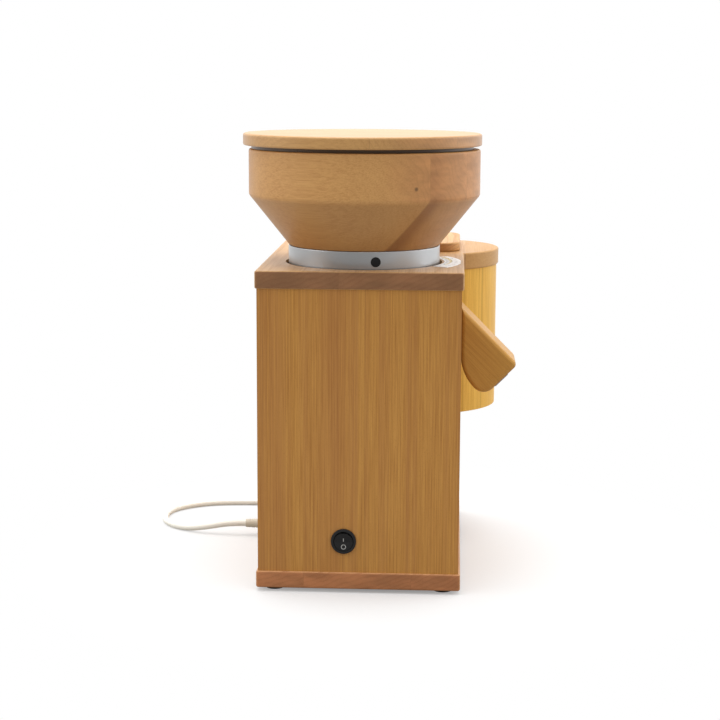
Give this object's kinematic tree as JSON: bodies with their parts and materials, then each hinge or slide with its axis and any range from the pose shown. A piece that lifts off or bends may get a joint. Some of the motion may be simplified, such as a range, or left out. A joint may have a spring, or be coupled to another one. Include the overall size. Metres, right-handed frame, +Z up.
{
  "type": "electric grain mill",
  "caption": "Wooden-cased electric grain mill with a turned hopper on an adjusting ring, a slanted flour spout and a motor-driven grain flaker behind a rounded lobe.",
  "frame": {"origin": "centre of the object's box at the floor, measured without the mains lead", "axes": "+X towards the front where the spout is, +Y from the mill side to the flaker side, +Z up"},
  "size_m": [0.3644, 0.4292, 0.4127],
  "materials": {
    "beech_board": "oiled solid beech, reddish",
    "wall_wood": "oiled, upright straight grain, golden",
    "inner_wood": "plain, sawn",
    "spout_wood": "oiled, grain along the spout",
    "hopper_wood": "turned and oiled",
    "lid_wood": "turned and oiled",
    "ring_aluminium": "satin turned",
    "cast_aluminium": "cast, bead blasted",
    "steel": "ground",
    "motor_paint": "dark grey paint",
    "zinc_sheet": "zinc plated",
    "windings": "varnished copper and sheet stack",
    "brass": "plain",
    "stone": "corundum ceramic, rough",
    "black_plastic": "black gloss",
    "grey_plastic": "grey, matt",
    "cream_plastic": "cream, matt",
    "white_label": "white printed sheet with plain marks",
    "foot_rubber": "matt black",
    "seal_felt": "pressed felt",
    "cord_sheath": "pale cream sheath"
  },
  "bodies": {
    "root": {"top_board": "beech_board", "base_board": "beech_board", "near_wall": "wall_wood", "far_wall": "wall_wood", "rear_wall": "wall_wood", "front_wall": "wall_wood", "lobe_wall": "wall_wood", "lobe_floor": "beech_board", "corner_posts": "inner_wood", "foot_rear_near": "foot_rubber", "foot_front_near": "foot_rubber", "foot_rear_far": "foot_rubber", "foot_front_far": "foot_rubber", "spout_block": "spout_wood", "spout_liner": "grey_plastic", "scale_label": "white_label", "mill_housing": "cast_aluminium", "shaft_seal": "seal_felt", "motor_can": "motor_paint", "motor_end_plate": "motor_paint", "motor_stator": "windings", "upper_bearing": "steel", "lower_bearing": "steel", "motor_capacitor": "grey_plastic", "capacitor_clip": "zinc_sheet", "terminal_block": "cream_plastic", "flaker_frame": "zinc_sheet", "roller_bushes": "brass", "flaker_motor": "motor_paint", "flaker_funnel": "zinc_sheet", "flake_chute": "zinc_sheet", "mill_switch_body": "black_plastic", "flaker_switch_body": "black_plastic", "base_screws": "zinc_sheet", "housing_screws": "zinc_sheet", "strain_relief": "cream_plastic", "cord": "cord_sheath", "cord_coil": "cord_sheath", "cord_tail": "cord_sheath", "plug": "cream_plastic"},
    "upper_stone_unit": {"upper_stone_carrier": "cast_aluminium", "upper_stone": "stone"},
    "hopper_unit": {"adjusting_ring": "ring_aluminium", "ring_plug": "black_plastic", "hopper_bowl": "hopper_wood"},
    "hopper_lid_body": {"hopper_lid": "lid_wood"},
    "flaker_lid_body": {"flaker_lid": "lid_wood"},
    "motor_rotor_unit": {"motor_rotor": "steel", "motor_fan": "black_plastic", "lower_stone_carrier": "cast_aluminium", "lower_stone": "stone"},
    "drive_roller_unit": {"drive_roller": "steel", "drive_gear": "steel", "drive_wheel": "brass"},
    "driven_roller_unit": {"driven_roller": "steel", "driven_gear": "steel"},
    "pinion_unit": {"flaker_pinion": "steel"},
    "mill_rocker": {"mill_switch_rocker": "black_plastic"},
    "flaker_rocker": {"flaker_switch_rocker": "black_plastic"}
  },
  "joints": [
    {"name": "stone_lift", "type": "slide", "parent": "root", "child": "upper_stone_unit", "axis": [0, 0, 1], "range_m": [-0.0003, 0.0008]},
    {"name": "hopper_turn", "type": "hinge", "parent": "upper_stone_unit", "child": "hopper_unit", "pos_m": [-0.015, -0.051, 0.3], "axis": [0, 0, 1], "range_deg": [-30, 90]},
    {"name": "hopper_lid_lift", "type": "slide", "parent": "hopper_unit", "child": "hopper_lid_body", "axis": [0, 0, 1], "range_m": [0, 0.08]},
    {"name": "flaker_lid_lift", "type": "slide", "parent": "root", "child": "flaker_lid_body", "axis": [0, 0, 1], "range_m": [0, 0.025]},
    {"name": "motor_spin", "type": "hinge", "parent": "root", "child": "motor_rotor_unit", "pos_m": [-0.015, -0.051, 0.15], "axis": [0, 0, 1], "continuous": true},
    {"name": "drive_spin", "type": "hinge", "parent": "root", "child": "drive_roller_unit", "pos_m": [0.0288, 0.09452, 0.225], "axis": [0, 1, 0], "continuous": true},
    {"name": "driven_spin", "type": "hinge", "parent": "root", "child": "driven_roller_unit", "pos_m": [0.0612, 0.09452, 0.225], "axis": [0, 1, 0], "continuous": true},
    {"name": "pinion_spin", "type": "hinge", "parent": "root", "child": "pinion_unit", "pos_m": [-0.01329, 0.09452, 0.2007], "axis": [0, 1, 0], "continuous": true},
    {"name": "mill_rocker_tilt", "type": "hinge", "parent": "root", "child": "mill_rocker", "pos_m": [-0.028, -0.1362, 0.0482], "axis": [-1, 0, 0], "range_deg": [0, 16]},
    {"name": "flaker_rocker_tilt", "type": "hinge", "parent": "root", "child": "flaker_rocker", "pos_m": [-0.028, 0.1582, 0.0482], "axis": [1, 0, 0], "range_deg": [0, 16]}
  ],
  "couplings": [
    {"joint": "stone_lift", "follows": "hopper_turn", "m_per_rad": 0.00047746},
    {"joint": "driven_spin", "follows": "drive_spin", "ratio": -1},
    {"joint": "pinion_spin", "follows": "drive_spin", "ratio": -5}
  ]
}
